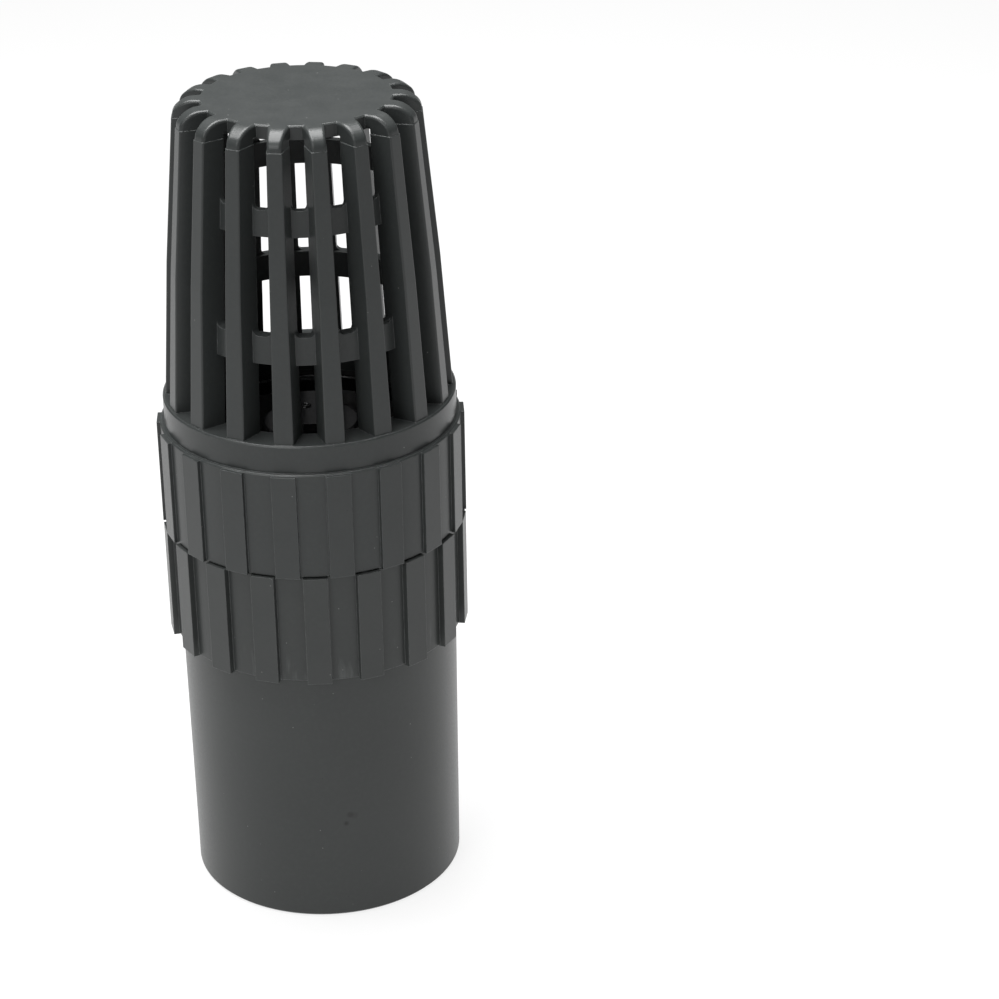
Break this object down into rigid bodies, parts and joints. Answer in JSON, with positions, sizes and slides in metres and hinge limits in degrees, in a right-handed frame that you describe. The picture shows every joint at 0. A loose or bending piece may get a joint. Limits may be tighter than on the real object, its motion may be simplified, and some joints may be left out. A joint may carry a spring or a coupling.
{
  "type": "foot valve",
  "caption": "Upright grey plastic foot valve: ribbed conical strainer screwed on to a cylindrical body that holds a spring-loaded poppet check valve above a threaded outlet.",
  "frame": {"origin": "centre of the flat outlet face, at the bottom of the upright valve", "axes": "+Z along the valve's axis from the outlet towards the strainer's cap; +X and +Y across it, with the picture taken from about -Y"},
  "size_m": [0.0804, 0.0802, 0.2196],
  "materials": {
    "grey_pvc": "satin moulded",
    "black_pp": "satin moulded",
    "epdm_rubber": "matt",
    "stainless_steel": "bright drawn",
    "bush_plastic": "smooth"
  },
  "bodies": {
    "body": {"valve_body": "grey_pvc", "guide_bridge": "black_pp", "seat_ring": "black_pp", "seat_oring": "epdm_rubber", "upper_guide_bush": "bush_plastic", "return_spring": "stainless_steel", "lower_guide": "black_pp", "lower_guide_bush": "bush_plastic", "retaining_clip": "stainless_steel", "outlet_gasket": "epdm_rubber"},
    "poppet": {"poppet_head": "black_pp", "poppet_seal": "epdm_rubber", "seal_retainer": "black_pp", "stem_washer": "stainless_steel", "stem_nut": "stainless_steel", "poppet_stem": "stainless_steel", "stem_keeper": "stainless_steel", "spring_washer": "stainless_steel"},
    "clamp": {"thrust_ring": "bush_plastic"},
    "strainer": {"strainer_basket": "grey_pvc"}
  },
  "joints": [
    {"name": "poppet_lift", "type": "slide", "parent": "body", "child": "poppet", "axis": [0, 0, 1], "range_m": [-0.0115, 0], "stiffness_N_per_m": 250, "springref_m": 0.016, "deforming": ["return_spring"]},
    {"name": "strainer_lift", "type": "slide", "parent": "body", "child": "clamp", "axis": [0, 0, 1], "range_m": [0, 0.0175]},
    {"name": "strainer_turn", "type": "hinge", "parent": "clamp", "child": "strainer", "pos_m": [0, 0, 0.1], "axis": [0, 0, 1], "range_deg": [0, 1260]}
  ],
  "couplings": [
    {"joint": "strainer_lift", "follows": "strainer_turn", "m_per_rad": 0.00079577}
  ]
}
